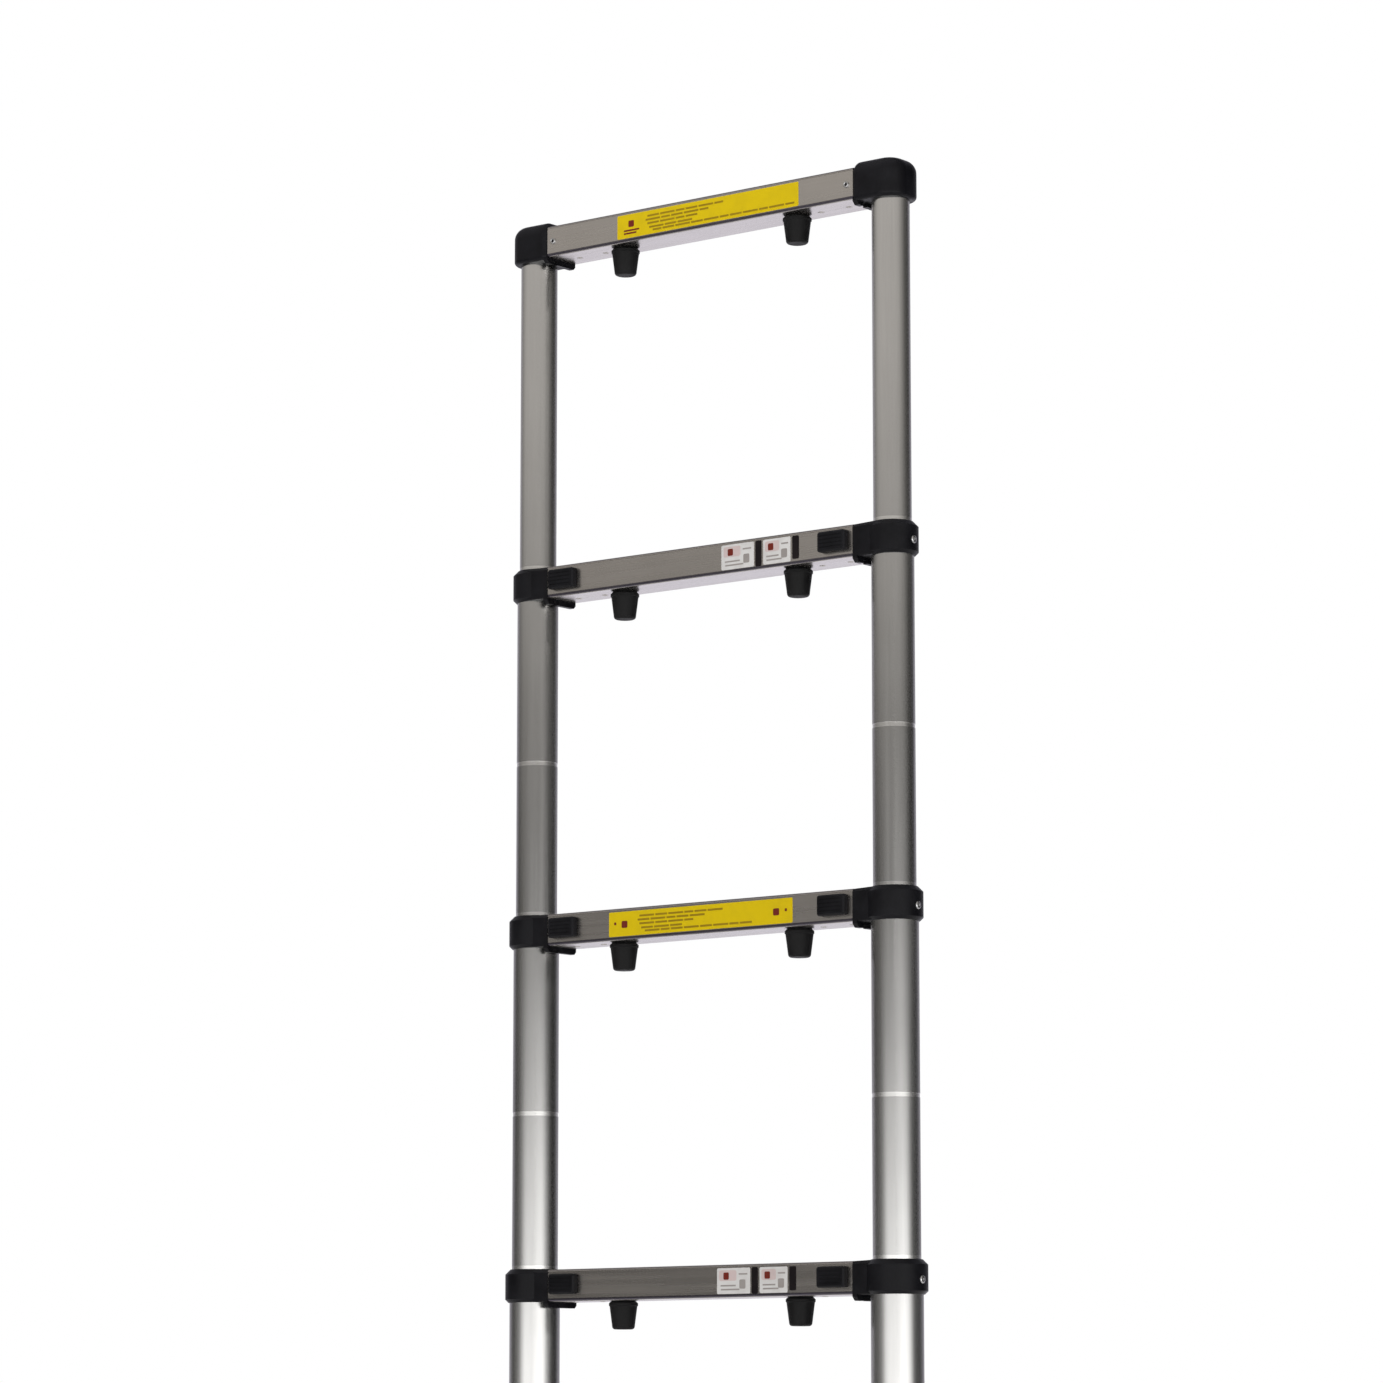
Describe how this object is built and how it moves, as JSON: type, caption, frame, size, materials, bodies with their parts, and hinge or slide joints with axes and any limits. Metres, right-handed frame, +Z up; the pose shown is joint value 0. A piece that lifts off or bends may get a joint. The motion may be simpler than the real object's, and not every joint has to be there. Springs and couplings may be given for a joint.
{
  "type": "telescoping ladder",
  "caption": "Telescoping aluminium ladder, drawn fully extended: rungs between nested round tubes, with black collars, sprung thumb latches, rubber bumpers and feet.",
  "frame": {"origin": "On the floor, midway between the two feet, on the plane of the tube axes.", "axes": "+Z up along the tubes, +X to the ladder's right seen from the climber, -Y toward the climber, where the thumb latches are."},
  "size_m": [0.436, 0.076, 2.605],
  "materials": {
    "anodised_tube": "satin anodised drawn tube",
    "rung_extrusion": "satin anodised extrusion with a ribbed tread",
    "black_nylon": "fine moulded satin",
    "black_rubber": "soft moulded rubber"
  },
  "bodies": {
    "section_1": {"stile_tubes_1": "anodised_tube", "rung_1": "rung_extrusion", "collars_1": "black_nylon", "feet": "black_rubber"},
    "section_2": {"stile_tubes_2": "anodised_tube", "rung_2": "rung_extrusion", "collars_2": "black_nylon", "bumpers_2": "black_rubber", "end_plugs_2": "black_nylon"},
    "section_3": {"stile_tubes_3": "anodised_tube", "rung_3": "rung_extrusion", "collars_3": "black_nylon", "bumpers_3": "black_rubber", "end_plugs_3": "black_nylon"},
    "section_4": {"stile_tubes_4": "anodised_tube", "rung_4": "rung_extrusion", "collars_4": "black_nylon", "bumpers_4": "black_rubber", "end_plugs_4": "black_nylon"},
    "section_5": {"stile_tubes_5": "anodised_tube", "rung_5": "rung_extrusion", "collars_5": "black_nylon", "bumpers_5": "black_rubber", "end_plugs_5": "black_nylon"},
    "section_6": {"stile_tubes_6": "anodised_tube", "rung_6": "rung_extrusion", "collars_6": "black_nylon", "bumpers_6": "black_rubber", "end_plugs_6": "black_nylon"},
    "section_7": {"stile_tubes_7": "anodised_tube", "rung_7": "rung_extrusion", "collars_7": "black_nylon", "bumpers_7": "black_rubber", "end_plugs_7": "black_nylon"},
    "section_8": {"stile_tubes_8": "anodised_tube", "rung_8": "rung_extrusion", "collars_8": "black_nylon", "bumpers_8": "black_rubber", "end_plugs_8": "black_nylon"},
    "section_9": {"stile_tubes_9": "anodised_tube", "rung_9": "rung_extrusion", "end_caps_9": "black_nylon", "bumpers_9": "black_rubber", "end_plugs_9": "black_nylon"},
    "latch_left_1": {"lock_left_1": "black_nylon"},
    "latch_right_1": {"lock_right_1": "black_nylon"},
    "latch_left_2": {"lock_left_2": "black_nylon"},
    "latch_right_2": {"lock_right_2": "black_nylon"},
    "latch_left_3": {"lock_left_3": "black_nylon"},
    "latch_right_3": {"lock_right_3": "black_nylon"},
    "latch_left_4": {"lock_left_4": "black_nylon"},
    "latch_right_4": {"lock_right_4": "black_nylon"},
    "latch_left_5": {"lock_left_5": "black_nylon"},
    "latch_right_5": {"lock_right_5": "black_nylon"},
    "latch_left_6": {"lock_left_6": "black_nylon"},
    "latch_right_6": {"lock_right_6": "black_nylon"},
    "latch_left_7": {"lock_left_7": "black_nylon"},
    "latch_right_7": {"lock_right_7": "black_nylon"},
    "latch_left_8": {"lock_left_8": "black_nylon"},
    "latch_right_8": {"lock_right_8": "black_nylon"}
  },
  "joints": [
    {"name": "section_2_slide", "type": "slide", "parent": "section_1", "child": "section_2", "axis": [0, 0, 1], "range_m": [-0.2365, 0]},
    {"name": "section_3_slide", "type": "slide", "parent": "section_2", "child": "section_3", "axis": [0, 0, 1], "range_m": [-0.2365, 0]},
    {"name": "section_4_slide", "type": "slide", "parent": "section_3", "child": "section_4", "axis": [0, 0, 1], "range_m": [-0.2365, 0]},
    {"name": "section_5_slide", "type": "slide", "parent": "section_4", "child": "section_5", "axis": [0, 0, 1], "range_m": [-0.2365, 0]},
    {"name": "section_6_slide", "type": "slide", "parent": "section_5", "child": "section_6", "axis": [0, 0, 1], "range_m": [-0.2365, 0]},
    {"name": "section_7_slide", "type": "slide", "parent": "section_6", "child": "section_7", "axis": [0, 0, 1], "range_m": [-0.2365, 0]},
    {"name": "section_8_slide", "type": "slide", "parent": "section_7", "child": "section_8", "axis": [0, 0, 1], "range_m": [-0.2365, 0]},
    {"name": "section_9_slide", "type": "slide", "parent": "section_8", "child": "section_9", "axis": [0, 0, 1], "range_m": [-0.2365, 0]},
    {"name": "latch_left_1_push", "type": "slide", "parent": "section_1", "child": "latch_left_1", "axis": [-1, 0, 0], "range_m": [-0.001, 0.0042], "stiffness_N_per_m": 300, "springref_m": 0.008},
    {"name": "latch_right_1_push", "type": "slide", "parent": "section_1", "child": "latch_right_1", "axis": [1, 0, 0], "range_m": [-0.001, 0.0042], "stiffness_N_per_m": 300, "springref_m": 0.008},
    {"name": "latch_left_2_push", "type": "slide", "parent": "section_2", "child": "latch_left_2", "axis": [-1, 0, 0], "range_m": [-0.001, 0.0042], "stiffness_N_per_m": 300, "springref_m": 0.008},
    {"name": "latch_right_2_push", "type": "slide", "parent": "section_2", "child": "latch_right_2", "axis": [1, 0, 0], "range_m": [-0.001, 0.0042], "stiffness_N_per_m": 300, "springref_m": 0.008},
    {"name": "latch_left_3_push", "type": "slide", "parent": "section_3", "child": "latch_left_3", "axis": [-1, 0, 0], "range_m": [-0.001, 0.0042], "stiffness_N_per_m": 300, "springref_m": 0.008},
    {"name": "latch_right_3_push", "type": "slide", "parent": "section_3", "child": "latch_right_3", "axis": [1, 0, 0], "range_m": [-0.001, 0.0042], "stiffness_N_per_m": 300, "springref_m": 0.008},
    {"name": "latch_left_4_push", "type": "slide", "parent": "section_4", "child": "latch_left_4", "axis": [-1, 0, 0], "range_m": [-0.001, 0.0042], "stiffness_N_per_m": 300, "springref_m": 0.008},
    {"name": "latch_right_4_push", "type": "slide", "parent": "section_4", "child": "latch_right_4", "axis": [1, 0, 0], "range_m": [-0.001, 0.0042], "stiffness_N_per_m": 300, "springref_m": 0.008},
    {"name": "latch_left_5_push", "type": "slide", "parent": "section_5", "child": "latch_left_5", "axis": [-1, 0, 0], "range_m": [-0.001, 0.0042], "stiffness_N_per_m": 300, "springref_m": 0.008},
    {"name": "latch_right_5_push", "type": "slide", "parent": "section_5", "child": "latch_right_5", "axis": [1, 0, 0], "range_m": [-0.001, 0.0042], "stiffness_N_per_m": 300, "springref_m": 0.008},
    {"name": "latch_left_6_push", "type": "slide", "parent": "section_6", "child": "latch_left_6", "axis": [-1, 0, 0], "range_m": [-0.001, 0.0042], "stiffness_N_per_m": 300, "springref_m": 0.008},
    {"name": "latch_right_6_push", "type": "slide", "parent": "section_6", "child": "latch_right_6", "axis": [1, 0, 0], "range_m": [-0.001, 0.0042], "stiffness_N_per_m": 300, "springref_m": 0.008},
    {"name": "latch_left_7_push", "type": "slide", "parent": "section_7", "child": "latch_left_7", "axis": [-1, 0, 0], "range_m": [-0.001, 0.0042], "stiffness_N_per_m": 300, "springref_m": 0.008},
    {"name": "latch_right_7_push", "type": "slide", "parent": "section_7", "child": "latch_right_7", "axis": [1, 0, 0], "range_m": [-0.001, 0.0042], "stiffness_N_per_m": 300, "springref_m": 0.008},
    {"name": "latch_left_8_push", "type": "slide", "parent": "section_8", "child": "latch_left_8", "axis": [-1, 0, 0], "range_m": [-0.001, 0.0042], "stiffness_N_per_m": 300, "springref_m": 0.008},
    {"name": "latch_right_8_push", "type": "slide", "parent": "section_8", "child": "latch_right_8", "axis": [1, 0, 0], "range_m": [-0.001, 0.0042], "stiffness_N_per_m": 300, "springref_m": 0.008}
  ]
}
